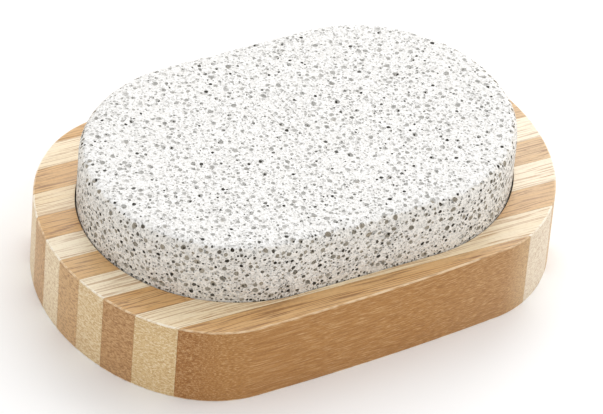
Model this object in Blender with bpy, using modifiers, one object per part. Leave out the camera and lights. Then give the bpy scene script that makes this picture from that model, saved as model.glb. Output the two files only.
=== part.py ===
"""Pumice foot stone let into a block of laminated bamboo.

Metres, +Z up. The origin is the middle of the block's underside, and X is its long axis.
"""

import math
import random

import bmesh
import bpy
from mathutils import Matrix, Vector

MM = 0.001
COLLECTION = "pumice_stone_on_bamboo_block"

# Block: a slab with half-elliptical ends and long sides that bow out a little
BLOCK_LENGTH = 105.0 * MM
BLOCK_WIDTH = 70.4 * MM
BLOCK_END_DEPTH = 26.8 * MM
BLOCK_SIDE_BOW = 0.65 * MM
BLOCK_SIDE_STEPS = 8
BLOCK_HEIGHT = 17.4 * MM
BLOCK_CHAMFER = 0.5 * MM
BLOCK_END_STEPS = 24

# Strips: glued side by side, carbonised and natural bamboo by turns, at a small angle to the block
STRIP_COUNT = 11
STRIP_PITCH = 6.6 * MM
FRONT_JOINT = -30.6 * MM
STRIP_TURN = math.radians(-3.7)
GLUE_LINE = 0.1 * MM
STRIP_SPARE = 10.0 * MM

# Stone: a pad with round ends, part of it sunk in the block
STONE_LENGTH = 88.8 * MM
STONE_WIDTH = 59.0 * MM
STONE_STANDS_OUT = 13.0 * MM
STONE_ROUNDING = 2.0 * MM
STONE_TURN = math.radians(-2.2)
STONE_SHIFT_Y = 0.2 * MM
STONE_END_STEPS = 24
POCKET_DEPTH = 5.0 * MM
POCKET_CLEARANCE = 0.3 * MM

# Pits: gas bubbles that the sawn surface cuts open, the larger ones only
PIT_SEED = 11
PITS_ON_TOP = 280
PITS_ON_SIDE = 200
PITS_UNDERNEATH = 40
PIT_RADII = (0.55 * MM, 1.05 * MM)
PIT_DEPTHS = (0.75, 1.15)
PIT_SIDES = 6
PIT_STRETCH = 1.2
PIT_WALL = 0.35 * MM
PIT_CUTTER_STANDS_OUT = 0.25 * MM

# Shared by all shapes
BEVEL_ANGLE = math.radians(45.0)
SHARP_ANGLE = math.radians(35.0)
FLAT_ANGLE = math.radians(0.1)
WELD_DISTANCE = 0.001 * MM
ROUNDING_SEGMENTS = 3

STONE_BOTTOM = BLOCK_HEIGHT - POCKET_DEPTH + POCKET_CLEARANCE
STONE_TOP = BLOCK_HEIGHT + STONE_STANDS_OUT


def clear_scene():
    for item in list(bpy.data.objects):
        bpy.data.objects.remove(item)


def new_collection(name):
    collection = bpy.data.collections.new(name)
    bpy.context.scene.collection.children.link(collection)
    return collection


def material(name, colour, roughness):
    made = bpy.data.materials.new(name)
    made.use_nodes = True
    shader = made.node_tree.nodes["Principled BSDF"]
    shader.inputs["Base Color"].default_value = (*colour, 1.0)
    shader.inputs["Roughness"].default_value = roughness
    shader.inputs["Metallic"].default_value = 0.0
    made.diffuse_color = (*colour, 1.0)
    return made


def round_ended_outline(length, width, end_depth, end_steps, bow=0.0, side_steps=1):
    """Anticlockwise points of a slab with a half ellipse at each end.

    Its long sides stand out by the bow in their middle.
    """
    half_side = length / 2 - end_depth
    outline = []
    for side in (1, -1):
        for step in range(end_steps + 1):
            angle = math.pi * (step / end_steps - 0.5)
            x = half_side + end_depth * math.cos(angle)
            outline.append((side * x, side * width / 2 * math.sin(angle)))
        for step in range(1, side_steps):
            x = half_side * (1 - 2 * step / side_steps)
            outline.append((side * x, side * width / 2))
    loss = 2 * bow / width
    return [(x, y * (1 - loss * min(abs(x) / half_side, 1.0) ** 2)) for x, y in outline]


def shade_round(mesh):
    """Smooth shading on the curved walls, with the true edges kept sharp."""
    mesh.shade_smooth()
    mesh.set_sharp_from_angle(angle=SHARP_ANGLE)


def slab(name, outline, height, collection):
    """A closed mesh of the outline, from Z 0 up to the height."""
    curve = bpy.data.curves.new(name, "CURVE")
    curve.dimensions = "2D"
    curve.fill_mode = "BOTH"
    curve.extrude = height / 2
    spline = curve.splines.new("POLY")
    spline.points.add(len(outline) - 1)
    for point, (x, y) in zip(spline.points, outline):
        point.co = (x, y, 0.0, 1.0)
    spline.use_cyclic_u = True
    drawn = bpy.data.objects.new(name + "_outline", curve)
    collection.objects.link(drawn)
    drawn.location.z = height / 2
    bpy.context.view_layer.update()

    graph = bpy.context.evaluated_depsgraph_get()
    mesh = bpy.data.meshes.new_from_object(drawn.evaluated_get(graph))
    mesh.transform(drawn.matrix_world)
    bpy.data.objects.remove(drawn)
    shape = bmesh.new()
    shape.from_mesh(mesh)
    bmesh.ops.remove_doubles(shape, verts=shape.verts, dist=WELD_DISTANCE)
    bmesh.ops.dissolve_limit(
        shape, angle_limit=FLAT_ANGLE, verts=shape.verts, edges=shape.edges
    )
    bmesh.ops.recalc_face_normals(shape, faces=shape.faces)
    shape.to_mesh(mesh)
    shape.free()
    shade_round(mesh)
    made = bpy.data.objects.new(name, mesh)
    collection.objects.link(made)
    return made


def as_cutter(item):
    item.hide_render = True
    item.display_type = "WIRE"
    return item


def add_boolean(item, operation, other):
    cut = item.modifiers.new(f"{operation.lower()} {other.name}", "BOOLEAN")
    cut.operation = operation
    cut.solver = "EXACT"
    cut.object = other


def add_bevel(item, width, segments):
    """Eases the edges where walls meet flats, and leaves the faceted curves alone."""
    bevel = item.modifiers.new("eased edges", "BEVEL")
    bevel.width = width
    bevel.segments = segments
    bevel.limit_method = "ANGLE"
    bevel.angle_limit = BEVEL_ANGLE


def block_blank(cutters):
    """The whole block as one shape, with the stone's pocket milled into its top."""
    outline = round_ended_outline(
        BLOCK_LENGTH,
        BLOCK_WIDTH,
        BLOCK_END_DEPTH,
        BLOCK_END_STEPS,
        BLOCK_SIDE_BOW,
        BLOCK_SIDE_STEPS,
    )
    blank = as_cutter(slab("block_blank", outline, BLOCK_HEIGHT, cutters))
    add_bevel(blank, BLOCK_CHAMFER, 1)

    pocket_width = STONE_WIDTH + 2 * POCKET_CLEARANCE
    pocket_outline = round_ended_outline(
        STONE_LENGTH + 2 * POCKET_CLEARANCE, pocket_width, pocket_width / 2, STONE_END_STEPS
    )
    pocket = as_cutter(slab("pocket", pocket_outline, 2 * POCKET_DEPTH, cutters))
    pocket.location = (0.0, STONE_SHIFT_Y, BLOCK_HEIGHT - POCKET_DEPTH)
    pocket.rotation_euler.z = STONE_TURN
    add_boolean(blank, "DIFFERENCE", pocket)
    return blank


def strip_edges(number):
    """Front and back of a strip, measured across the strips from the block's middle."""
    joint_in_front = FRONT_JOINT + (number - 2) * STRIP_PITCH
    front = joint_in_front + GLUE_LINE / 2
    back = joint_in_front + STRIP_PITCH - GLUE_LINE / 2
    if number == 1:
        front = -BLOCK_WIDTH
    if number == STRIP_COUNT:
        back = BLOCK_WIDTH
    return front, back


def bamboo_strip(number, blank, look, collection, name):
    front, back = strip_edges(number)
    shape = bmesh.new()
    bmesh.ops.create_cube(shape, size=1.0)
    size = (BLOCK_LENGTH + STRIP_SPARE, back - front, BLOCK_HEIGHT + STRIP_SPARE)
    bmesh.ops.scale(shape, vec=size, verts=shape.verts)
    bmesh.ops.translate(
        shape, vec=(0.0, (front + back) / 2, BLOCK_HEIGHT / 2), verts=shape.verts
    )
    mesh = bpy.data.meshes.new(name)
    shape.to_mesh(mesh)
    shape.free()
    mesh.materials.append(look)
    strip = bpy.data.objects.new(name, mesh)
    collection.objects.link(strip)
    strip.rotation_euler.z = STRIP_TURN
    add_boolean(strip, "INTERSECT", blank)


def point_on_side(along):
    """Place and outward direction on the stone's wall, a distance along it from the back right."""
    straight = STONE_LENGTH - STONE_WIDTH
    radius = STONE_WIDTH / 2
    half_turn = math.pi * radius
    half, rest = divmod(along, straight + half_turn)
    sign = -1.0 if half % 2 else 1.0
    if rest < straight:
        place = Vector((straight / 2 - rest, radius, 0.0))
        out = Vector((0.0, 1.0, 0.0))
    else:
        angle = (rest - straight) / radius
        out = Vector((-math.sin(angle), math.cos(angle), 0.0))
        place = Vector((-straight / 2, 0.0, 0.0)) + radius * out
    return sign * place, sign * out


def point_on_flat(draw):
    """A place on the stone's flat top, clear of its rounded edge."""
    straight = STONE_LENGTH - STONE_WIDTH
    reach = STONE_WIDTH / 2 - STONE_ROUNDING
    while True:
        x = draw.uniform(-STONE_LENGTH / 2, STONE_LENGTH / 2)
        y = draw.uniform(-reach, reach)
        if math.hypot(max(abs(x) - straight / 2, 0.0), y) < reach:
            return Vector((x, y, 0.0))


def draw_pit(draw, face):
    """One pit: where its mouth is, the way out of it, and its mean radius."""
    radius = PIT_RADII[0] + (PIT_RADII[1] - PIT_RADII[0]) * draw.random() ** 2
    height = STONE_TOP - STONE_BOTTOM
    if face == "side":
        girth = 2 * (STONE_LENGTH - STONE_WIDTH) + math.pi * STONE_WIDTH
        place, out = point_on_side(draw.uniform(0.0, girth))
        place.z = draw.uniform(STONE_ROUNDING, height - STONE_ROUNDING)
        return place, out, radius
    place = point_on_flat(draw)
    if face == "top":
        place.z = height
        return place, Vector((0.0, 0.0, 1.0)), radius
    return place, Vector((0.0, 0.0, -1.0)), radius


def scattered_pits():
    """Pits of all faces, none of which runs into another."""
    draw = random.Random(PIT_SEED)
    pits = []
    for face, count in (("top", PITS_ON_TOP), ("side", PITS_ON_SIDE), ("base", PITS_UNDERNEATH)):
        wanted = len(pits) + count
        while len(pits) < wanted:
            place, out, radius = draw_pit(draw, face)
            near = (
                (place - other).length < (radius + size) * PIT_STRETCH + PIT_WALL
                for other, _, size in pits
            )
            if not any(near):
                pits.append((place, out, radius))
    return pits


def pit_cutter(collection):
    """All pits as one mesh of pyramids that point into the stone, each a little longer than wide."""
    draw = random.Random(PIT_SEED + 1)
    shape = bmesh.new()
    for place, out, radius in scattered_pits():
        depth = radius * draw.uniform(*PIT_DEPTHS)
        length = depth + PIT_CUTTER_STANDS_OUT
        centre = place + out * (PIT_CUTTER_STANDS_OUT - length / 2)
        stretch = draw.uniform(1.0, PIT_STRETCH)
        upright = out.to_track_quat("Z", "Y").to_matrix().to_4x4()
        bmesh.ops.create_cone(
            shape,
            cap_ends=True,
            segments=PIT_SIDES,
            radius1=0.0,
            radius2=radius * length / depth,
            depth=length,
            matrix=Matrix.Translation(centre)
            @ upright
            @ Matrix.Rotation(draw.uniform(0.0, math.tau), 4, "Z")
            @ Matrix.Diagonal((stretch, 1 / stretch, 1.0, 1.0)),
        )
    mesh = bpy.data.meshes.new("pits")
    shape.to_mesh(mesh)
    shape.free()
    pits = bpy.data.objects.new("pits", mesh)
    collection.objects.link(pits)
    return as_cutter(pits)


def pumice_stone(collection, cutters):
    outline = round_ended_outline(STONE_LENGTH, STONE_WIDTH, STONE_WIDTH / 2, STONE_END_STEPS)
    stone = slab("pumice_stone", outline, STONE_TOP - STONE_BOTTOM, collection)
    stone.data.materials.append(material("pumice", (0.82, 0.82, 0.79), 0.95))
    add_bevel(stone, STONE_ROUNDING, ROUNDING_SEGMENTS)
    pits = pit_cutter(cutters)
    for item in (stone, pits):
        item.location = (0.0, STONE_SHIFT_Y, STONE_BOTTOM)
        item.rotation_euler.z = STONE_TURN
    add_boolean(stone, "DIFFERENCE", pits)


def main():
    clear_scene()
    parts = new_collection(COLLECTION)
    cutters = new_collection("cutters")
    blank = block_blank(cutters)
    for number in range(1, STRIP_COUNT + 1):
        kind = "carbonised" if number % 2 else "natural"
        colour = (0.56, 0.34, 0.17) if number % 2 else (0.85, 0.72, 0.49)
        name = f"bamboo_strip_{number:02d}_{kind}"
        look = material(f"{kind} bamboo {number}", colour, 0.6)
        bamboo_strip(number, blank, look, parts, name)
    pumice_stone(parts, cutters)


main()
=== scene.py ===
"""Finish of a pumice foot stone on a block of laminated bamboo.

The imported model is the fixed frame. Every piece takes its place and size from it, and is modelled
again here at the fineness that the eye sees: the stone with all its gas bubbles, and the eleven
strips with eased edges, end grain and fibre. Lengths are in metres, and MM makes them millimetres.
"""

import itertools
import math
import random
from dataclasses import dataclass

import bmesh
import bpy
import numpy as np
from bpy.props import FloatProperty, FloatVectorProperty, IntProperty, PointerProperty
from mathutils import Matrix, Quaternion, Vector, noise
from mathutils.bvhtree import BVHTree


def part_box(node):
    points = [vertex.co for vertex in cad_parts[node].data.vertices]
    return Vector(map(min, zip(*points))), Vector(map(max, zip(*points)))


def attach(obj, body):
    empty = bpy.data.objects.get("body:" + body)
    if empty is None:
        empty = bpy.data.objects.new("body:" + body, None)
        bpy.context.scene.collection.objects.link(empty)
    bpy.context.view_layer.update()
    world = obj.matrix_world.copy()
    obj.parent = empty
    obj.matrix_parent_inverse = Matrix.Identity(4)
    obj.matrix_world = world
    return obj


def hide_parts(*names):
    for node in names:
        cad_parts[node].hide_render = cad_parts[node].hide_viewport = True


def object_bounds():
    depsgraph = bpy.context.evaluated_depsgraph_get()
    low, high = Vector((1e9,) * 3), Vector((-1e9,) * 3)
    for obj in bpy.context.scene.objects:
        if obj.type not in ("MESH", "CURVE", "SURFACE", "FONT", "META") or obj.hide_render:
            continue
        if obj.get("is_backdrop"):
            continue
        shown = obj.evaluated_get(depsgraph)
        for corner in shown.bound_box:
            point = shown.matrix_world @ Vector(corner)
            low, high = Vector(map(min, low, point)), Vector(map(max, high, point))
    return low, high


bl_info = {
    "name": "Pumice stone on bamboo",
    "version": (1, 0, 0),
    "blender": (4, 5, 0),
    "location": "3D View > Sidebar > Pumice stone",
    "description": "Models a pumice foot stone in its laminated bamboo block, with a plain studio",
    "category": "Object",
}

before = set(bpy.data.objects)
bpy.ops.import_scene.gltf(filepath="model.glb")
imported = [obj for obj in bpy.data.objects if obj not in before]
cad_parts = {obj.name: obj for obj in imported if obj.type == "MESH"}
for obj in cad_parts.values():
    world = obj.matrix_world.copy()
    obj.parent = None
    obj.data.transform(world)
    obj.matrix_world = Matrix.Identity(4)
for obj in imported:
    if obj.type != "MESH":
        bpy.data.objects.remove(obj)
cad_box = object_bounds()

MM = 0.001
BODY = "root"
STONE_NODE = "pumice_stone"
STRIP_NODES = sorted(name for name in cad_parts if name.startswith("bamboo_strip"))

# The block and the stone, from the frame's boxes and the makers' sizes that a box can't show
BLOCK_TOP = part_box(STRIP_NODES[0])[1].z
BLOCK_LENGTH = cad_box[1][0] - cad_box[0][0]
BLOCK_WIDTH = cad_box[1][1] - cad_box[0][1]
BLOCK_END_DEPTH = 26.8 * MM
BLOCK_SIDE_BOW = 0.65 * MM
STONE_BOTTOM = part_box(STONE_NODE)[0].z
STONE_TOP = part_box(STONE_NODE)[1].z
STONE_LENGTH = 88.8 * MM
STONE_WIDTH = 59.0 * MM
STONE_TURN = math.radians(-2.2)
STONE_SHIFT = Vector((0.0, 0.2 * MM, 0.0))
STRIP_TURN = math.radians(-3.7)
STRIP_PITCH = 6.6 * MM
FRONT_JOINT = -30.6 * MM
POCKET_FLOOR = BLOCK_TOP - 5.0 * MM

# Names of the two masks that the meshes carry for their materials, on their faces: how much painted
# shade lines a bubble, and which faces are eased rims
HOLLOW = "hollow"
EASED = "eased"

# Points nearer than this are one point, and a face with a shorter edge than a sliver is dropped
SAME_POINT = 0.01 * MM
SLIVER = 0.001 * MM
# A face or an edge counts as level or upright when this much of its direction is
NEARLY = 0.99


def linear(code, alpha=True):
    """Linear colour of an sRGB hex value such as #C8A078."""
    values = [int(code[place : place + 2], 16) / 255 for place in (1, 3, 5)]
    colour = [v / 12.92 if v <= 0.04045 else ((v + 0.055) / 1.055) ** 2.4 for v in values]
    return (*colour, 1.0) if alpha else tuple(colour)


# ---------------------------------------------------------------- settings


class PumiceSettings(bpy.types.PropertyGroup):
    """Sizes and colours of the stone"""

    rounding: FloatProperty(
        name="Rounding",
        description="Radius of the tumbled edges",
        default=2.4 * MM,
        unit="LENGTH",
        subtype="DISTANCE",
    )
    unevenness: FloatProperty(
        name="Unevenness",
        description="How far the worn surface strays from true",
        default=0.12 * MM,
        unit="LENGTH",
        subtype="DISTANCE",
    )
    bubbles: IntProperty(
        name="Bubbles tried",
        description="Places where a bubble is tried; those too near another are left out",
        default=11500,
        min=0,
    )
    seed: IntProperty(
        name="Seed",
        description="Another stone from the same quarry",
        default=7,
        min=1,
    )
    colour: FloatVectorProperty(
        name="Stone",
        description="Freshly cut pumice glass",
        default=linear("#FBFAF8", alpha=False),
        subtype="COLOR",
        min=0.0,
        max=1.0,
    )
    # Painted shade: the grey lining of an ordinary bubble stands for the shade in it, over the
    # shade its depth casts
    bubble_shade_colour: FloatVectorProperty(
        name="Bubble",
        description="Lining of an ordinary bubble",
        default=linear("#CECDC9", alpha=False),
        subtype="COLOR",
        min=0.0,
        max=1.0,
    )
    # Painted shade: the near-black lining of a deep bubble stands for the dark shade deep inside it
    deep_shade_colour: FloatVectorProperty(
        name="Deep bubble",
        description="Lining of a bubble that opens into others below",
        default=linear("#6C6963", alpha=False),
        subtype="COLOR",
        min=0.0,
        max=1.0,
    )


class BambooSettings(bpy.types.PropertyGroup):
    """Sizes and colours of the block"""

    easing: FloatProperty(
        name="Eased edge",
        description="Radius sanded on the block's rims",
        default=0.3 * MM,
        unit="LENGTH",
        subtype="DISTANCE",
    )
    joint: FloatProperty(
        name="Glue joint",
        description="Width of the hairline between two strips",
        default=0.05 * MM,
        unit="LENGTH",
        subtype="DISTANCE",
    )
    pocket_gap_ends: FloatProperty(
        name="Gap at the ends",
        description="Room between the stone and its pocket at either end",
        default=0.3 * MM,
        unit="LENGTH",
        subtype="DISTANCE",
    )
    pocket_gap_sides: FloatProperty(
        name="Gap at the sides",
        description="Room between the stone and its pocket along the sides",
        default=0.2 * MM,
        unit="LENGTH",
        subtype="DISTANCE",
    )
    natural: FloatVectorProperty(
        name="Natural",
        description="Bleached bamboo, as sanded",
        default=linear("#F8E4C0", alpha=False),
        subtype="COLOR",
        min=0.0,
        max=1.0,
    )
    carbonised: FloatVectorProperty(
        name="Carbonised",
        description="Bamboo browned by steam, as sanded",
        default=linear("#D6A567", alpha=False),
        subtype="COLOR",
        min=0.0,
        max=1.0,
    )


class StudioSettings(bpy.types.PropertyGroup):
    """Light and floor"""

    sky: FloatProperty(
        name="Room light",
        description="Strength of the white all round",
        default=0.875,
        min=0.0,
    )
    lamps: FloatVectorProperty(
        name="Softboxes",
        description="Power of the lamps behind and on the right, in watts",
        default=(5.8, 4.0),
        size=2,
        min=0.0,
    )
    floor_size: FloatProperty(
        name="Floor",
        description="Side of the square floor",
        default=6.0,
        unit="LENGTH",
        subtype="DISTANCE",
    )


# ---------------------------------------------------------------- shapes


# Cuts along a side that bows out, and the share of the straight length that marks such a side
SIDE_CUTS = 15
SIDE_SHARE = 0.9


def round_ended_slab(length, width, end_depth, bottom, top, steps, bow=0.0):
    """A closed slab with a half ellipse at each end, as a bmesh. Its long sides may bow out."""
    straight = length - 2 * end_depth
    slab = bmesh.new()
    bmesh.ops.create_cube(slab, size=1.0)
    bmesh.ops.scale(slab, vec=(straight + width, width, top - bottom), verts=slab.verts)
    bmesh.ops.translate(slab, vec=(0.0, 0.0, (bottom + top) / 2), verts=slab.verts)
    upright = [edge for edge in slab.edges if is_upright(edge)]
    bmesh.ops.bevel(
        slab,
        geom=upright,
        affect="EDGES",
        offset=width / 2,
        segments=steps,
        profile=0.5,
        material=-1,
        clamp_overlap=True,
    )
    bmesh.ops.remove_doubles(slab, verts=slab.verts, dist=SAME_POINT)
    for vert in slab.verts:
        past_straight = abs(vert.co.x) - straight / 2
        if past_straight > 0.0:
            squeezed = straight / 2 + past_straight * end_depth / (width / 2)
            vert.co.x = math.copysign(squeezed, vert.co.x)
    if bow:
        sides = [edge for edge in slab.edges if edge.calc_length() > SIDE_SHARE * straight]
        bmesh.ops.subdivide_edges(slab, edges=sides, cuts=SIDE_CUTS)
        for vert in slab.verts:
            along = min(abs(vert.co.x) / (straight / 2), 1.0)
            vert.co.y *= 1.0 - 2 * bow / width * along**2
    return slab


def is_upright(edge):
    ends = [vert.co for vert in edge.verts]
    return abs((ends[1] - ends[0]).normalized().z) > NEARLY


def ease_rims(slab, radius, segments):
    """Rounds the edges where the slab's wall meets its top and its underside."""
    slab.normal_update()
    flat = [abs(face.normal.z) > NEARLY for face in slab.faces]
    rims = [
        edge
        for edge in slab.edges
        if len({flat[face.index] for face in edge.link_faces}) == 2
    ]
    bmesh.ops.bevel(
        slab,
        geom=rims,
        affect="EDGES",
        offset=radius,
        segments=segments,
        profile=0.5,
        material=-1,
        clamp_overlap=True,
    )
    bmesh.ops.recalc_face_normals(slab, faces=slab.faces)


# The grid that parts large faces, and where in a cell its first plane lies, clear of any edge
FACE_GRID = 12.0 * MM
FIRST_PLANE = 0.7


def part_faces(shape):
    """Splits a shape's faces along a grid of planes and into triangles, so that a Boolean with
    many small cutters meets only small faces."""
    for axis in range(3):
        direction = Vector([float(axis == other) for other in range(3)])
        places = [vert.co[axis] for vert in shape.verts]
        place = min(places) + FIRST_PLANE * FACE_GRID
        while place < max(places):
            bmesh.ops.bisect_plane(
                shape,
                geom=shape.verts[:] + shape.edges[:] + shape.faces[:],
                plane_co=direction * place,
                plane_no=direction,
            )
            place += FACE_GRID
    bmesh.ops.triangulate(shape, faces=shape.faces)


def mesh_from(shape, name):
    mesh = bpy.data.meshes.new(name)
    shape.to_mesh(mesh)
    shape.free()
    return mesh


def set_in_block(shape):
    """Turns and shifts a shape from the stone's own axes to where the stone sits in the block."""
    turn = Matrix.Rotation(STONE_TURN, 3, "Z")
    bmesh.ops.rotate(shape, cent=(0.0, 0.0, 0.0), matrix=turn, verts=shape.verts)
    bmesh.ops.translate(shape, vec=STONE_SHIFT, verts=shape.verts)


def add_piece(mesh, name, nodes):
    """Puts a finished mesh in the scene as a piece that rides on the part and stands for nodes
    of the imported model."""
    piece = bpy.data.objects.new(name, mesh)
    bpy.context.scene.collection.objects.link(piece)
    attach(piece, BODY)
    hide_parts(*nodes)


def cut_from(mesh, cutters):
    """The mesh with each cutter mesh taken out of it in turn."""
    base = bpy.data.objects.new("base", mesh)
    bpy.context.scene.collection.objects.link(base)
    tools = []
    for cutter in cutters:
        tool = bpy.data.objects.new("cutter", cutter)
        bpy.context.scene.collection.objects.link(tool)
        cut = base.modifiers.new("cut", "BOOLEAN")
        cut.operation = "DIFFERENCE"
        cut.solver = "MANIFOLD"
        cut.object = tool
        tools.append(tool)
    bpy.context.view_layer.update()
    graph = bpy.context.evaluated_depsgraph_get()
    result = bpy.data.meshes.new_from_object(base.evaluated_get(graph))
    for item in (base, *tools):
        bpy.data.objects.remove(item)
    return result


def smooth_to_edges(mesh, angle):
    mesh.shade_smooth()
    mesh.set_sharp_from_angle(angle=angle)


# ---------------------------------------------------------------- the stone

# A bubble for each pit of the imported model: how deep a tip lies at least, and the bubble's radius
# and depth as shares of that depth
PIT_DEPTH = 0.35 * MM
PIT_SHARES = (0.58, 0.5)
# Radii of the scattered bubbles: many small, few large
RADIUS_MEDIAN = 0.27 * MM
RADIUS_SPREAD = 0.4
RADIUS_LIMITS = (0.12 * MM, 0.62 * MM)
# Below this depth under the wood the stone is out of sight, and few bubbles are made
HIDDEN_DEPTH = 0.8 * MM
HIDDEN_SKIPPED = 0.95
# The worn top has fewer open bubbles than the sides, which face less than this much upward
TOP_SKIPPED = 0.3
TOP_FACING = 0.9
# Small deep bubbles, lined near black with painted shade: how many of those on the top and on the
# sides
DARK_LARGEST = 0.45 * MM
DARK_SHARE_TOP = 0.16
DARK_SHARE_SIDE = 0.5
# How much painted shade lines each kind of bubble, darker on the sides, which the light from above
# reaches less, and its depth as a share of its radius
PIT_TONES = (0.1, 0.5)
DARK_TONES = (0.65, 1.0)
TOP_TONES = (0.05, 0.5)
SIDE_TONES = (0.3, 0.7)
DARK_DEPTHS = (1.1, 1.5)
PALE_DEPTHS = (0.5, 1.0)
# Bubbles broken open where the stone meets the wood, lined near black as painted shade where the
# parts meet: the band about the block's top, and radii
WOOD_BAND = (-0.2 * MM, 0.5 * MM)
WOOD_RADII = (0.2 * MM, 0.32 * MM)
# How far apart bubbles stay, as a share of their two radii: walls between them, or chipped ones
WALLED = 1.1
CHIPPED = 0.8
# A bubble seen in the floor of another: the least radius and share of those that hold one, its
# place across and below the mouth, and its own radius, depth and tone of painted shade, near black
HOLDER_LEAST = 0.33 * MM
HOLDER_SHARE = 0.4
INNER_ASIDE = 0.4
INNER_BELOW = 0.6
INNER_RADII = (0.3, 0.5)
INNER_DEPTH = 1.3
INNER_TONES = (0.8, 1.0)


@dataclass
class Bubble:
    """A gas bubble that the surface cuts open: its mouth, the way out of it, its size and the
    painted shade that lines it.
    """

    mouth: Vector
    out: Vector
    radius: float
    depth: float
    painted_shade: float

    @property
    def heart(self):
        return self.mouth - self.out * self.depth / 2


class Crowd:
    """Bubbles by place, so that a new one is tested against its neighbours only."""

    cell = 2.2 * MM  # bubbles that could touch are never more than one cell apart

    def __init__(self):
        self.bubbles = []
        self.cells = {}

    def key(self, place):
        return tuple(math.floor(value / self.cell) for value in place)

    def has_room(self, bubble, wall):
        x, y, z = self.key(bubble.heart)
        return not any(
            (bubble.heart - other.heart).length < (bubble.radius + other.radius) * wall
            for near in itertools.product((x - 1, x, x + 1), (y - 1, y, y + 1), (z - 1, z, z + 1))
            for other in self.cells.get(near, ())
        )

    def add(self, bubble):
        self.bubbles.append(bubble)
        self.cells.setdefault(self.key(bubble.heart), []).append(bubble)


def frame_bubbles(body):
    """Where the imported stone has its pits: the tip of each lies well inside the plain body."""
    turn = Matrix.Rotation(-STONE_TURN, 4, "Z") @ Matrix.Translation(-STONE_SHIFT)
    surface = BVHTree.FromBMesh(body)
    found = {}
    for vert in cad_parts[STONE_NODE].data.vertices:
        tip = turn @ vert.co
        mouth, out, _, depth = surface.find_nearest(tip)
        if depth > PIT_DEPTH:
            found[tuple(round(value / SAME_POINT) for value in tip)] = (mouth, out, depth)
    return [found[key] for key in sorted(found)]


def surface_points(body, count, draw):
    """Places spread evenly over a closed shape, each with its outward direction."""
    triangles = [
        [loop.vert.co.copy() for loop in loops] + [loops[0].face.normal.copy()]
        for loops in body.calc_loop_triangles()
    ]
    areas = [(b - a).cross(c - a).length for a, b, c, _ in triangles]
    for a, b, c, normal in draw.choices(triangles, weights=areas, k=count):
        u, v = draw.random(), draw.random()
        if u + v > 1.0:
            u, v = 1.0 - u, 1.0 - v
        yield a + u * (b - a) + v * (c - a), normal


def meets_wood(place):
    low, high = WOOD_BAND
    return low < place.z - BLOCK_TOP < high


def held_between(value, low, high):
    return min(max(value, low), high)


def scattered_bubbles(body, settings):
    """Bubbles with walls between them, each lined with painted shade, and the near-black ones that
    open in the floor of another.
    """
    draw = random.Random(settings.seed)
    crowd = Crowd()
    for mouth, out, depth in frame_bubbles(body):
        radius, height = (share * depth for share in PIT_SHARES)
        crowd.add(Bubble(mouth, out, radius, height, draw.uniform(*PIT_TONES)))
    places = list(surface_points(body, settings.bubbles, draw))
    places += [
        place for place in surface_points(body, settings.bubbles, draw) if meets_wood(place[0])
    ]
    radii = [RADIUS_MEDIAN * math.exp(draw.gauss(0.0, RADIUS_SPREAD)) for _ in places]
    radii = sorted((held_between(radius, *RADIUS_LIMITS) for radius in radii), reverse=True)
    for (mouth, out), radius in zip(places, radii):
        shaded_side = out.z < TOP_FACING
        if mouth.z < BLOCK_TOP - HIDDEN_DEPTH and draw.random() < HIDDEN_SKIPPED:
            continue
        if not shaded_side and draw.random() < TOP_SKIPPED:
            continue
        # Painted shade: side bubbles are more often near black, and the rest darker, as light from
        # above reaches them less
        dark_share = DARK_SHARE_SIDE if shaded_side else DARK_SHARE_TOP
        is_dark = radius < DARK_LARGEST and draw.random() < dark_share
        # Painted shade where stone meets wood: these bubbles are all lined near black
        if meets_wood(mouth):
            is_dark = True
            radius = held_between(radius, *WOOD_RADII)
        if is_dark:
            painted_shade = draw.uniform(*DARK_TONES)
        else:
            painted_shade = draw.uniform(*(SIDE_TONES if shaded_side else TOP_TONES))
        depth = radius * draw.uniform(*(DARK_DEPTHS if is_dark else PALE_DEPTHS))
        bubble = Bubble(mouth, out, radius, depth, painted_shade)
        if crowd.has_room(bubble, CHIPPED if meets_wood(mouth) else WALLED):
            crowd.add(bubble)

    inner = []
    for bubble in crowd.bubbles:
        if bubble.radius > HOLDER_LEAST and draw.random() < HOLDER_SHARE:
            aside = bubble.out.orthogonal()
            aside.rotate(Quaternion(bubble.out, draw.uniform(0.0, math.tau)))
            mouth = (
                bubble.mouth
                + aside * bubble.radius * INNER_ASIDE
                - bubble.out * bubble.depth * INNER_BELOW
            )
            radius = bubble.radius * draw.uniform(*INNER_RADII)
            depth = INNER_DEPTH * radius
            inner.append(Bubble(mouth, bubble.out, radius, depth, draw.uniform(*INNER_TONES)))
    return crowd.bubbles, inner


# Half of each bubble's profile, from the middle of its closed mouth down to its floor, as radius
# and height; and how many sides it is turned in. The smaller the bubble, the plainer.
MOULDS = (
    (0.44 * MM, 8, ((0.0, 0.35), (1.08, 0.35), (0.9, -0.45), (0.5, -0.9), (0.0, -1.0))),
    (0.28 * MM, 7, ((0.0, 0.35), (1.12, 0.35), (0.8, -0.7), (0.0, -1.0))),
    (0.2 * MM, 5, ((0.0, 0.35), (1.15, 0.35), (0.75, -0.8), (0.0, -1.0))),
    (0.0, 5, ((0.0, 0.35), (1.35, 0.35), (0.0, -1.0))),
)
# How strongly a bubble's outline swells in two and in three places
LOBES = {2: 0.12, 3: 0.1}
# Gentle swells of the worn surface: their lengths, and how strong the fine ones are
BROAD_SWELL = 9.0 * MM
FINE_SWELL = 1.5 * MM
FINE_SHARE = 0.35
# A cut bubble leaves more faces than this, and edges sharper than this angle stay sharp
FACES_PER_BUBBLE = 10
STONE_SHARP = math.radians(50.0)


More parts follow.
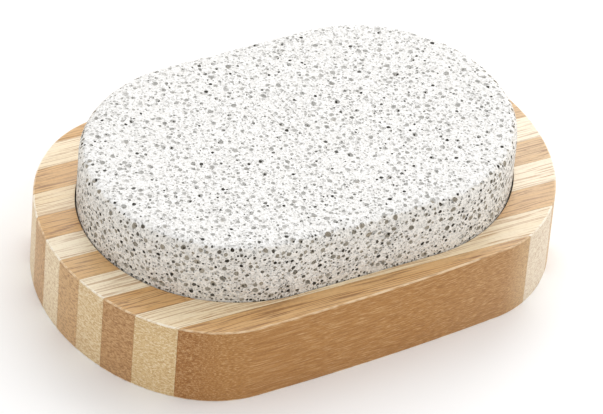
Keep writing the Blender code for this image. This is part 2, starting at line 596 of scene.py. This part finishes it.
def bubble_mould(sides, profile):
    """A closed bowl of unit size, turned from its profile, as points and the corners of faces."""
    mould = bmesh.new()
    verts = [mould.verts.new((radius, 0.0, height)) for radius, height in profile]
    edges = [mould.edges.new(pair) for pair in zip(verts, verts[1:])]
    bmesh.ops.spin(
        mould,
        geom=verts + edges,
        axis=(0.0, 0.0, 1.0),
        cent=(0.0, 0.0, 0.0),
        steps=sides,
        angle=math.tau,
        use_merge=True,
    )
    bmesh.ops.remove_doubles(mould, verts=mould.verts, dist=0.001)
    bmesh.ops.recalc_face_normals(mould, faces=mould.faces)
    bmesh.ops.triangulate(mould, faces=mould.faces)
    mould.verts.index_update()
    points = np.array([vert.co[:] for vert in mould.verts])
    corners = np.array([[vert.index for vert in face.verts] for face in mould.faces])
    mould.free()
    return points, corners


def bubble_cutter(bubbles, draw):
    """All these bubbles as one mesh of copies of the moulds, each turned, stretched and lobed."""
    moulds = [(least, *bubble_mould(sides, profile)) for least, sides, profile in MOULDS]
    points, corners, tones = [], [], []
    count = 0
    for bubble in bubbles:
        shape, faces = next(mould[1:] for mould in moulds if bubble.radius >= mould[0])
        round_angle = np.arctan2(shape[:, 1], shape[:, 0])
        lobes = np.ones(len(shape))
        for lobe_count, swell in LOBES.items():
            lobes += swell * np.sin(lobe_count * round_angle + draw.uniform(0.0, math.tau))
        upright = bubble.out.to_track_quat("Z", "Y").to_matrix()
        spin = Matrix.Rotation(draw.uniform(0.0, math.tau), 3, "Z")
        place = upright @ spin @ Matrix.Diagonal((bubble.radius, bubble.radius, bubble.depth))
        lobed = shape * np.column_stack((lobes, lobes, np.ones(len(shape))))
        points.append(lobed @ np.array(place).T + np.array(bubble.mouth))
        corners.append(faces + count)
        tones.append(np.full(len(faces), bubble.painted_shade, np.float32))
        count += len(shape)
    mesh = bpy.data.meshes.new("bubbles")
    mesh.from_pydata(np.vstack(points).tolist(), [], np.vstack(corners).tolist())
    # Each face keeps its bubble's painted shade for the material
    tone = mesh.attributes.new(HOLLOW, "FLOAT", "FACE")
    tone.data.foreach_set("value", np.concatenate(tones))
    return mesh


def worn(place, amount):
    """How far a point of the stone lies from true, by two sizes of gentle swell."""
    broad = noise.noise_vector(place / BROAD_SWELL)
    fine = noise.noise_vector(place / FINE_SWELL)
    return (broad + fine * FINE_SHARE) * amount


class MakePumice(bpy.types.Operator):
    """Models the stone: a pad with round ends, tumbled edges and thousands of open bubbles"""

    bl_idname = "pumice.make_stone"
    bl_label = "Pumice stone"

    def execute(self, context):
        settings = context.scene.pumice
        body = round_ended_slab(
            STONE_LENGTH, STONE_WIDTH, STONE_WIDTH / 2, STONE_BOTTOM, STONE_TOP, steps=24
        )
        ease_rims(body, settings.rounding, segments=6)
        crowd, inner = scattered_bubbles(body, settings)
        draw = random.Random(settings.seed + 1)
        cutters = [bubble_cutter(crowd, draw), bubble_cutter(inner, draw)]
        part_faces(body)
        base = mesh_from(body, "pumice_body")
        base.attributes.new(HOLLOW, "FLOAT", "FACE")
        mesh = cut_from(base, cutters)
        if len(mesh.polygons) < FACES_PER_BUBBLE * len(crowd):
            raise RuntimeError("the bubbles were not cut: a cutter isn't closed")

        shape = bmesh.new()
        shape.from_mesh(mesh)
        bmesh.ops.triangulate(shape, faces=shape.faces)
        bmesh.ops.dissolve_degenerate(shape, edges=shape.edges, dist=SLIVER)
        noise.seed_set(settings.seed)  # without it the swells differ from run to run
        for vert in shape.verts:
            vert.co += worn(vert.co, settings.unevenness)
        set_in_block(shape)
        mesh = mesh_from(shape, "pumice")
        smooth_to_edges(mesh, STONE_SHARP)
        mesh.materials.append(pumice_material(settings))
        add_piece(mesh, "pumice_pad", [STONE_NODE])
        return {"FINISHED"}


# ---------------------------------------------------------------- the bamboo block

# A face of an eased rim leans: the least and the most of its direction that is upright
RIM_LEANS = (0.15, 0.98)
WOOD_SHARP = math.radians(40.0)


def block_mesh(settings):
    """The whole block with eased rims and the stone's pocket, before it is parted into strips."""
    block = round_ended_slab(
        BLOCK_LENGTH, BLOCK_WIDTH, BLOCK_END_DEPTH, 0.0, BLOCK_TOP, 48, BLOCK_SIDE_BOW
    )
    ease_rims(block, settings.easing, segments=2)
    width = STONE_WIDTH + 2 * settings.pocket_gap_sides
    length = STONE_LENGTH + 2 * settings.pocket_gap_ends
    pocket = round_ended_slab(
        length, width, width / 2, POCKET_FLOOR, 2 * BLOCK_TOP - POCKET_FLOOR, steps=48
    )
    set_in_block(pocket)
    return cut_from(mesh_from(block, "block"), [mesh_from(pocket, "pocket")])


def keep_one_side(shape, place, outward):
    """Cuts the shape off at a plane, drops what lies outward of it and closes the cut."""
    cut = bmesh.ops.bisect_plane(
        shape,
        geom=shape.verts[:] + shape.edges[:] + shape.faces[:],
        plane_co=place,
        plane_no=outward,
        clear_outer=True,
    )
    edges = [item for item in cut["geom_cut"] if isinstance(item, bmesh.types.BMEdge)]
    bmesh.ops.edgeloop_fill(shape, edges=edges)


def strip_shape(block, number, settings):
    """One strip: what lies between two glue joints, which run at a small angle to the block."""
    across = Vector((-math.sin(STRIP_TURN), math.cos(STRIP_TURN), 0.0))
    joint_in_front = FRONT_JOINT + (number - 2) * STRIP_PITCH
    shape = bmesh.new()
    shape.from_mesh(block)
    if number > 1:
        keep_one_side(shape, across * (joint_in_front + settings.joint / 2), -across)
    if number < len(STRIP_NODES):
        keep_one_side(
            shape, across * (joint_in_front + STRIP_PITCH - settings.joint / 2), across
        )
    bmesh.ops.recalc_face_normals(shape, faces=shape.faces)
    eased = shape.faces.layers.float.new(EASED)
    least, most = RIM_LEANS
    for face in shape.faces:
        face[eased] = 1.0 if least < abs(face.normal.z) < most else 0.0
    return shape


class MakeBamboo(bpy.types.Operator):
    """Models the eleven bamboo strips, natural and carbonised by turns"""

    bl_idname = "pumice.make_bamboo"
    bl_label = "Bamboo strips"

    def execute(self, context):
        settings = context.scene.bamboo
        block = block_mesh(settings)
        for number, node in enumerate(STRIP_NODES, start=1):
            kind = node.rsplit("_", 1)[1]
            mesh = mesh_from(strip_shape(block, number, settings), node)
            smooth_to_edges(mesh, WOOD_SHARP)
            mesh.materials.append(bamboo_material(kind, number, settings))
            add_piece(mesh, f"{kind}_strip_{number:02d}", [node])
        return {"FINISHED"}


# ---------------------------------------------------------------- materials

# Settings of two nodes used throughout: Map Range with soft ends, and Mix for colours, whose input
# 0 is the share, 6 and 7 the colours, and whose output 2 is the result
SOFT = {"interpolation_type": "SMOOTHSTEP"}
COLOURS = {"data_type": "RGBA"}


def add(tree, kind, inputs=None, **settings):
    """Adds a node, sets its properties, and links or sets its inputs, named or numbered."""
    node = tree.nodes.new(kind)
    for name, value in settings.items():
        setattr(node, name, value)
    for name, value in (inputs or {}).items():
        if isinstance(value, bpy.types.NodeSocket):
            tree.links.new(value, node.inputs[name])
        else:
            node.inputs[name].default_value = value
    return node


def new_material(name):
    """An empty material with its output, as (material, node tree, output node)."""
    material = bpy.data.materials.new(name)
    material.use_nodes = True
    material.node_tree.nodes.clear()
    output = add(material.node_tree, "ShaderNodeOutputMaterial")
    return material, material.node_tree, output


def solid_coordinates(tree, grain, turn=0.0, place=(0.0, 0.0, 0.0)):
    """Object coordinates turned about Z and divided by the grain's size, given in millimetres
    along each axis."""
    source = add(tree, "ShaderNodeTexCoord")
    turned = add(
        tree,
        "ShaderNodeMapping",
        {"Vector": source.outputs["Object"], "Rotation": (0.0, 0.0, -turn)},
        vector_type="POINT",
    )
    scaled = add(
        tree,
        "ShaderNodeMapping",
        {
            "Vector": turned.outputs[0],
            "Location": place,
            "Scale": tuple(1.0 / (size * MM) for size in grain),
        },
        vector_type="POINT",
    )
    return scaled.outputs[0]


def painted(tree, colour, layers):
    """The colour with tones laid over it in turn. A layer is a pattern, the face that it shows on,
    how much of it shows off and on that face, and its tone."""
    for pattern, face, (off, on), tone in layers:
        most = add(tree, "ShaderNodeMapRange", {"Value": face, "To Min": off, "To Max": on}, **SOFT)
        share = add(tree, "ShaderNodeMath", {0: pattern, 1: most.outputs[0]}, operation="MULTIPLY")
        layer = {0: share.outputs[0], 6: colour, 7: linear(tone)}
        colour = add(tree, "ShaderNodeMix", layer, **COLOURS).outputs[2]
    return colour


# The pumice's noises, as size in millimetres and detail, and its pits too small or too shallow to
# model, as spacing in millimetres and radius as a share of it. Real pumice is foam down to a few
# hundredths of a millimetre. That is too fine to show, so grit and pinholes are drawn coarser.
# The small pits are painted grey: painted shade for the shade that would lie in them.
PUMICE_NOISES = {
    "chips": (1.3, 3.0),
    "lumps": (1.1, 2.0),
    "ragged": (0.45, 2.0),
    "grit": (0.4, 4.0),
}
PUMICE_PITS = {"pinholes": (0.55, 0.34), "shallows": (0.9, 0.36)}
# Over what depth below the flat top the stone takes on the painted shade and warmth of its sides
SIDE_STARTS = 0.05 * MM
SIDE_ENDS = 1.2 * MM
# How strongly the chips break that line, how ragged the small pits' rims are as a share of their
# spacing, and how much higher the lumps stand than the grit
CHIPPING = 1.2
RAGGEDNESS = 0.7
LUMP_HEIGHT = 2.3


def pumice_material(settings):
    """Pumice, sawn and tumbled: a glass foam. The eye sees an off-white, quite matt ground with a
    fine granular tooth and crowded tiny pits, pale grey bubble linings, and a few near-black holes.
    The grey of the pits, the low spots and the linings, and the near black of the holes, is painted
    shade laid over the shade the modelled bubbles cast. The sides are painted warmer and darker,
    with darker and more crowded pits, for the shade they stand in under light from above and the
    warm light from the wood."""
    material, tree, output = new_material("pumice_sawn")
    hollow = add(tree, "ShaderNodeAttribute", attribute_name=HOLLOW).outputs["Fac"]
    noises = {}
    for name, (size, detail) in PUMICE_NOISES.items():
        place = solid_coordinates(tree, (size,) * 3)
        noises[name] = add(
            tree, "ShaderNodeTexNoise", {"Vector": place, "Scale": 1.0, "Detail": detail}
        )
    lumps = noises["lumps"].outputs["Fac"]
    grit = noises["grit"].outputs["Fac"]

    # The painted shade of the sides begins in a ragged line, chipped out of the rounded rim
    place = add(tree, "ShaderNodeTexCoord").outputs["Object"]
    height = add(tree, "ShaderNodeSeparateXYZ", {0: place}).outputs["Z"]
    below = add(
        tree,
        "ShaderNodeMapRange",
        {"Value": height, "From Min": STONE_TOP - SIDE_STARTS, "From Max": STONE_TOP - SIDE_ENDS},
        **SOFT,
    )
    chipped = add(
        tree,
        "ShaderNodeMath",
        {0: noises["chips"].outputs["Fac"], 1: CHIPPING, 2: below.outputs[0]},
        operation="MULTIPLY_ADD",
    )
    shaded_side = add(
        tree,
        "ShaderNodeMapRange",
        {"Value": chipped.outputs[0], "From Min": 0.8, "From Max": 1.35},
        **SOFT,
    ).outputs[0]

    # One pit to a cell, each a spot of painted shade, some stronger than others, their rims made
    # ragged
    pits = {}
    for name, (spacing, radius) in PUMICE_PITS.items():
        place = add(
            tree,
            "ShaderNodeVectorMath",
            {
                0: noises["ragged"].outputs["Color"],
                1: (RAGGEDNESS,) * 3,
                2: solid_coordinates(tree, (spacing,) * 3),
            },
            operation="MULTIPLY_ADD",
        )
        cells = add(tree, "ShaderNodeTexVoronoi", {"Vector": place.outputs[0], "Scale": 1.0})
        inside, strength = (
            add(
                tree,
                "ShaderNodeMapRange",
                {"Value": cells.outputs[output_name], "From Min": low, "From Max": high},
                **SOFT,
            ).outputs[0]
            for output_name, low, high in (
                ("Distance", radius, 0.6 * radius),
                ("Color", 0.35, 0.75),
            )
        )
        pits[name] = add(
            tree, "ShaderNodeMath", {0: inside, 1: strength}, operation="MULTIPLY"
        ).outputs[0]

    # Painted shade in the low spots of the lumps and the grit
    low_lumps, low_grit = (
        add(
            tree,
            "ShaderNodeMapRange",
            {"Value": pattern, "From Min": 0.56, "From Max": 0.36},
            **SOFT,
        ).outputs[0]
        for pattern in (lumps, grit)
    )
    # The ground: painted warmer and darker on the sides for their shade and the warm light from the
    # wood, with painted shade in the low spots and the small pits, stronger on the sides
    ground = add(
        tree,
        "ShaderNodeMix",
        {0: shaded_side, 6: (*settings.colour, 1.0), 7: linear("#F6F1E9")},
        **COLOURS,
    ).outputs[2]
    ground = painted(
        tree,
        ground,
        (
            (low_lumps, shaded_side, (0.18, 0.45), "#D3CEC6"),
            (low_grit, shaded_side, (0.55, 0.85), "#C9C6C0"),
            (pits["shallows"], shaded_side, (0.3, 0.8), "#A6A49E"),
            (pits["pinholes"], shaded_side, (0.6, 1.0), "#8A8883"),
        ),
    )

    # A bubble's lining is painted shade: grey, near black where its shade is deepest, faint where
    # it is lightest, and darker and warmer on the sides, which get less light
    deepest_shade, shows = (
        add(
            tree,
            "ShaderNodeMapRange",
            {"Value": hollow, "From Min": low, "From Max": high, "To Min": least},
            **SOFT,
        ).outputs[0]
        for low, high, least in ((0.55, 0.95, 0.0), (0.05, 0.6, 0.45))
    )
    lining = add(
        tree,
        "ShaderNodeMix",
        {0: deepest_shade, 6: (*settings.bubble_shade_colour, 1.0), 7: (*settings.deep_shade_colour, 1.0)},
        **COLOURS,
    ).outputs[2]
    lining = add(tree, "ShaderNodeMix", {0: shows, 6: ground, 7: lining}, **COLOURS).outputs[2]
    # Painted shade on the sides' bubble linings
    lining = add(
        tree,
        "ShaderNodeMix",
        {0: shaded_side, 6: lining, 7: linear("#DDD4C6")},
        blend_type="MULTIPLY",
        **COLOURS,
    ).outputs[2]
    is_hollow = add(tree, "ShaderNodeMath", {0: hollow, 1: 0.01}, operation="GREATER_THAN")
    colour = add(
        tree, "ShaderNodeMix", {0: is_hollow.outputs[0], 6: ground, 7: lining}, **COLOURS
    ).outputs[2]

    # The tooth: lumps and grit, with the small pits sunk into them
    height = add(
        tree, "ShaderNodeMath", {0: lumps, 1: LUMP_HEIGHT, 2: grit}, operation="MULTIPLY_ADD"
    )
    for pit in pits.values():
        height = add(tree, "ShaderNodeMath", {0: height.outputs[0], 1: pit}, operation="SUBTRACT")
    bump = add(
        tree,
        "ShaderNodeBump",
        {"Height": height.outputs[0], "Strength": 0.9, "Distance": 0.25 * MM},
    )
    shader = add(
        tree,
        "ShaderNodeBsdfPrincipled",
        {
            "Base Color": colour,
            "Roughness": 0.95,
            "IOR": 1.5,
            "Specular IOR Level": 0.2,
            "Normal": bump.outputs["Normal"],
        },
    )
    tree.links.new(shader.outputs[0], output.inputs["Surface"])
    return material


# Tones of each kind of bamboo: its sanded top is in the settings, and these are its broad faces,
# its cut ends, its darkest fibre bundles, the painted sheen that greys its right half, the painted
# light its walls pale to where they turn at the right, its palest wood, and its worn rims, pale
# from sanding and partly a painted highlight
BAMBOO_TONES = {
    "natural": {
        "face": "#D5B783",
        "end": "#D5B783",
        "bundle": "#A9763E",
        "sheen_tone": "#DAD4C8",
        "turn_light_tone": "#E6E2DA",
        "pale": "#F8ECD2",
        "worn": "#FCF5E6",
    },
    "carbonised": {
        "face": "#AD7A3E",
        "end": "#A16B32",
        "bundle": "#73400F",
        "sheen_tone": "#C8BCA8",
        "turn_light_tone": "#DDC396",
        "pale": "#E0BC8A",
        "worn": "#F0D6B0",
    },
}
# For each strip from the front, how pale (up to 1) or golden (down to -1) its top and its wall
# are for its kind, and how far its grain wanders, in millimetres. The tones are partly each strip's
# own, as each comes from another culm, and partly painted light and shade: the golden tops of the
# two front strips stand for the shade of the stone beside them, and the paler walls of the back
# strips for the light that reaches them
STRIP_LOOKS = (
    (-0.12, 0.0, 1.0),
    (-0.28, 0.0, 1.0),
    (0.0, 0.3, 2.4),
    (0.45, 0.1, 1.0),
    (0.4, 0.62, 1.3),
    (0.7, 0.45, 0.8),
    (0.1, 0.5, 1.0),
    (-0.3, 0.3, 1.6),
    (0.3, 0.5, 1.0),
    (0.0, 0.4, 0.8),
    (0.2, 0.5, 1.0),
)
# Lengths and thicknesses in the bamboo's grain, in millimetres. A fibre bundle is 0.2 to 0.7 mm
# thick and as long as the strip, but dips in and out of a sanded face. The dashes on the walls
# are single fibres, drawn coarser than their real few hundredths. Specks are bundles cut across.
WANDER = (18.0, 5.0, 5.0)
BUNDLE = (14.0, 0.7)
LINE = (18.0, 0.26)
DASH = (6.0, 0.15)
BROAD = (60.0, 2.4)
SPECK = (0.6, 0.75, 0.36)
WEAR = (3.0, 1.2, 1.2)


def bamboo_material(kind, number, settings):
    """Laminated bamboo, sanded and unvarnished. Along the strip the eye sees long fine lines of
    fibre bundles, on the walls short pale dashes, on the cut ends specks, and a low soft gloss.
    A painted sheen greys the right half, painted light pales the walls where they turn at the
    right, and the pale line on the eased rims is partly wear and partly a painted highlight."""
    tones = BAMBOO_TONES[kind]
    material, tree, output = new_material(f"{kind}_bamboo_sanded_{number:02d}")
    apart = (13.7 * number, 5.3 * number, 3.1 * number)
    top_tone, wall_tone, wandering = STRIP_LOOKS[number - 1]

    wander, speck, wear = (
        add(
            tree,
            "ShaderNodeTexNoise",
            {
                "Vector": solid_coordinates(tree, grain, STRIP_TURN, apart),
                "Scale": 1.0,
                "Detail": detail,
            },
        )
        for grain, detail in ((WANDER, 1.0), (SPECK, 1.0), (WEAR, 2.0))
    )

    def strayed(length, thickness):
        """Coordinates for streaks of this size, which wander as the strip's grain does."""
        return add(
            tree,
            "ShaderNodeVectorMath",
            {
                0: wander.outputs["Color"],
                1: (0.0, wandering / thickness, wandering / thickness),
                2: solid_coordinates(tree, (length, thickness, thickness), STRIP_TURN, apart),
            },
            operation="MULTIPLY_ADD",
        ).outputs[0]

    line, dash, broad = (
        add(
            tree, "ShaderNodeTexNoise", {"Vector": strayed(*size), "Scale": 1.0, "Detail": 1.0}
        ).outputs["Fac"]
        for size in (LINE, DASH, BROAD)
    )
    bundles = add(tree, "ShaderNodeTexVoronoi", {"Vector": strayed(*BUNDLE), "Scale": 1.0})

    source = add(tree, "ShaderNodeTexCoord")
    place = add(tree, "ShaderNodeSeparateXYZ", {0: source.outputs["Object"]})
    facing = add(
        tree,
        "ShaderNodeMapping",
        {"Vector": source.outputs["Normal"], "Rotation": (0.0, 0.0, -STRIP_TURN)},
        vector_type="POINT",
    )
    facing = add(tree, "ShaderNodeSeparateXYZ", {0: facing.outputs[0]})
    to_end, up = (
        add(tree, "ShaderNodeMath", {0: facing.outputs[axis]}, operation="ABSOLUTE").outputs[0]
        for axis in "XZ"
    )

    # Each value that is spread from one range to another: where it starts and ends, and what it
    # is held to there
    held = {}
    for name, value, start, end, at_start, at_end in (
        ("on_top", up, 0.5, 0.9, 0.0, 1.0),
        ("on_wall", up, 0.9, 0.5, 0.0, 1.0),
        ("on_end", to_end, 0.25, 0.7, 0.0, 1.0),
        # Painted sheen that greys the right half, more on the tops than on the walls
        ("painted_sheen", place.outputs["X"], 5.0 * MM, 50.0 * MM, 0.0, 1.0),
        # Painted light on the walls where they turn toward the light on the right
        ("painted_turn_light", place.outputs["X"], 27.0 * MM, 35.0 * MM, 0.0, 1.0),
        ("pale_band", broad, 0.35, 0.65, 0.0, 0.25),
        ("dark_line", line, 0.48, 0.36, 0.0, 1.0),
        ("pale_line", line, 0.55, 0.68, 0.0, 1.0),
        ("dark_dash", dash, 0.47, 0.36, 0.0, 1.0),
        ("pale_dash", dash, 0.55, 0.68, 0.0, 1.0),
        ("dark_speck", speck.outputs["Fac"], 0.5, 0.34, 0.0, 1.0),
        ("pale_speck", speck.outputs["Fac"], 0.52, 0.66, 0.0, 1.0),
        ("bundle_core", bundles.outputs["Distance"], 0.27, 0.08, 0.0, 1.0),
        ("bundle_strength", bundles.outputs["Color"], 0.25, 0.65, 0.15, 1.0),
        # Where the eased rims show a pale line: partly sanded fibre, partly a painted highlight
        ("worn", wear.outputs["Fac"], 0.35, 0.65, 0.15, 0.75),
        ("roughness", line, 0.3, 0.7, 0.38, 0.52),
    ):
        ends = {"From Min": start, "From Max": end, "To Min": at_start, "To Max": at_end}
        held[name] = add(tree, "ShaderNodeMapRange", {"Value": value, **ends}, **SOFT).outputs[0]
    on_top = held["on_top"]
    bundle = add(
        tree,
        "ShaderNodeMath",
        {0: held["bundle_core"], 1: held["bundle_strength"]},
        operation="MULTIPLY",
    ).outputs[0]
    eased = add(tree, "ShaderNodeAttribute", attribute_name=EASED).outputs["Fac"]

    face, end, pale = (linear(tones[name]) for name in ("face", "end", "pale"))
    top = (*getattr(settings, kind), 1.0)
    leaning = pale if top_tone > 0.0 else face
    for share, tone in ((abs(top_tone), leaning), (held["pale_band"], pale)):
        top = add(tree, "ShaderNodeMix", {0: share, 6: top, 7: tone}, **COLOURS).outputs[2]
    wall = face
    for share, tone in ((held["on_end"], end), (wall_tone, pale)):
        wall = add(tree, "ShaderNodeMix", {0: share, 6: wall, 7: tone}, **COLOURS).outputs[2]
    colour = add(tree, "ShaderNodeMix", {0: on_top, 6: wall, 7: top}, **COLOURS).outputs[2]
    colour = painted(
        tree,
        colour,
        (
            # Painted sheen on the right half
            (held["painted_sheen"], on_top, (0.2, 0.36), tones["sheen_tone"]),
            # Painted light on the walls where they turn to the right
            (held["painted_turn_light"], on_top, (0.45, 0.0), tones["turn_light_tone"]),
            (held["dark_line"], on_top, (0.093, 0.62), tones["bundle"]),
            (held["pale_line"], on_top, (0.075, 0.5), tones["pale"]),
            (held["dark_dash"], held["on_wall"], (0.12, 0.3), tones["bundle"]),
            (held["pale_dash"], held["on_wall"], (0.168, 0.42), tones["pale"]),
            (held["dark_speck"], held["on_end"], (0.08, 0.4), tones["bundle"]),
            (held["pale_speck"], held["on_end"], (0.06, 0.3), tones["pale"]),
            (bundle, on_top, (0.12, 0.9), tones["bundle"]),
            # The eased rims: paler from sanding, and partly a painted highlight
            (held["worn"], eased, (0.0, 1.0), tones["worn"]),
        ),
    )

    height = add(tree, "ShaderNodeMath", {0: line, 1: dash}, operation="ADD").outputs[0]
    height = add(tree, "ShaderNodeMath", {0: height, 1: bundle}, operation="SUBTRACT").outputs[0]
    bump = add(tree, "ShaderNodeBump", {"Height": height, "Strength": 0.4, "Distance": 0.05 * MM})
    gloss = add(
        tree, "ShaderNodeMapRange", {"Value": on_top, "To Min": 0.4, "To Max": 0.65}, **SOFT
    )
    shader = add(
        tree,
        "ShaderNodeBsdfPrincipled",
        {
            "Base Color": colour,
            "Roughness": held["roughness"],
            "IOR": 1.5,
            "Specular IOR Level": gloss.outputs[0],
            "Normal": bump.outputs["Normal"],
        },
    )
    tree.links.new(shader.outputs[0], output.inputs["Surface"])
    return material


# ---------------------------------------------------------------- the studio

CAMERA_AIM = Vector((3.02, 2.08, 8.89)) * MM
CAMERA_AZIMUTH = math.radians(-32.61)
CAMERA_ELEVATION = math.radians(39.75)
CAMERA_ROLL = math.radians(4.97)
CAMERA_DISTANCE = 1058.4 * MM
CAMERA_LENS = 320.6
SENSOR_WIDTH = 36.0
CAMERA_NEAREST = 10.0 * MM


def place_camera(scene):
    back = Vector(
        (
            math.sin(CAMERA_AZIMUTH) * math.cos(CAMERA_ELEVATION),
            -math.cos(CAMERA_AZIMUTH) * math.cos(CAMERA_ELEVATION),
            math.sin(CAMERA_ELEVATION),
        )
    )
    camera = bpy.data.cameras.new("camera")
    camera.lens = CAMERA_LENS
    camera.sensor_width = SENSOR_WIDTH
    camera.clip_start = CAMERA_NEAREST
    camera.dof.use_dof = False
    holder = bpy.data.objects.new("camera", camera)
    holder.rotation_euler = (
        back.to_track_quat("Z", "Y").to_matrix() @ Matrix.Rotation(CAMERA_ROLL, 3, "Z")
    ).to_euler()
    holder.location = CAMERA_AIM + back * CAMERA_DISTANCE
    scene.collection.objects.link(holder)
    scene.camera = holder


def floor_material():
    """Seamless studio paper: a white, matt sheet with no pattern."""
    material, tree, output = new_material("studio_paper")
    shader = add(
        tree, "ShaderNodeBsdfPrincipled", {"Base Color": linear("#FCFCFC"), "Roughness": 0.9}
    )
    tree.links.new(shader.outputs[0], output.inputs["Surface"])
    return material


def place_floor(scene, settings):
    sheet = bmesh.new()
    bmesh.ops.create_grid(sheet, x_segments=1, y_segments=1, size=settings.floor_size / 2)
    mesh = mesh_from(sheet, "floor")
    mesh.materials.append(floor_material())
    floor = bpy.data.objects.new("floor", mesh)
    scene.collection.objects.link(floor)
    floor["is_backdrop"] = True


# Side of each square softbox, and where their middles are
SOFTBOX_SIZE = 0.9
SOFTBOXES = {
    "softbox_behind": (0.55, 0.75, 0.85),
    "softbox_right": (1.1, -0.2, 0.6),
}


def place_lamp(scene, name, watts, place):
    """A square softbox at a place, turned to the object."""
    lamp = bpy.data.lights.new(name, "AREA")
    lamp.energy = watts
    lamp.size = SOFTBOX_SIZE
    holder = bpy.data.objects.new(name, lamp)
    holder.location = place
    holder.rotation_euler = Vector(place).to_track_quat("Z", "Y").to_euler()
    scene.collection.objects.link(holder)


class MakeStudio(bpy.types.Operator):
    """Sets up the pale floor, the soft light and the camera"""

    bl_idname = "pumice.make_studio"
    bl_label = "Studio"

    def execute(self, context):
        scene = context.scene
        settings = scene.studio
        place_camera(scene)
        place_floor(scene, settings)
        for (name, place), watts in zip(SOFTBOXES.items(), settings.lamps):
            place_lamp(scene, name, watts, place)
        world = bpy.data.worlds.new("white_room")
        world.use_nodes = True
        background = world.node_tree.nodes["Background"]
        background.inputs["Color"].default_value = linear("#FFFFFF")
        background.inputs["Strength"].default_value = settings.sky
        scene.world = world
        scene.view_settings.view_transform = "Standard"
        return {"FINISHED"}


# ---------------------------------------------------------------- the panel


class PumicePanel(bpy.types.Panel):
    """Lists the pieces and their settings in the sidebar"""

    bl_idname = "VIEW3D_PT_pumice"
    bl_label = "Pumice stone"
    bl_space_type = "VIEW_3D"
    bl_region_type = "UI"
    bl_category = "Pumice stone"

    def draw(self, context):
        scene = context.scene
        for operator, settings in (
            (MakePumice, scene.pumice),
            (MakeBamboo, scene.bamboo),
            (MakeStudio, scene.studio),
        ):
            box = self.layout.box()
            for name in type(settings).__annotations__:
                box.prop(settings, name)
            box.operator(operator.bl_idname)


SETTINGS = {"pumice": PumiceSettings, "bamboo": BambooSettings, "studio": StudioSettings}
CLASSES = (*SETTINGS.values(), MakePumice, MakeBamboo, MakeStudio, PumicePanel)


def register():
    for item in CLASSES:
        bpy.utils.register_class(item)
    for name, group in SETTINGS.items():
        setattr(bpy.types.Scene, name, PointerProperty(type=group))


def unregister():
    for name in SETTINGS:
        delattr(bpy.types.Scene, name)
    for item in reversed(CLASSES):
        bpy.utils.unregister_class(item)


def main():
    register()
    bpy.ops.pumice.make_studio()
    bpy.ops.pumice.make_bamboo()
    bpy.ops.pumice.make_stone()
    boxes = {"cad": cad_box, "visual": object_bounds()}
    sizes = {name: [list(corner) for corner in box] for name, box in boxes.items()}


if __name__ == "__main__":
    main()
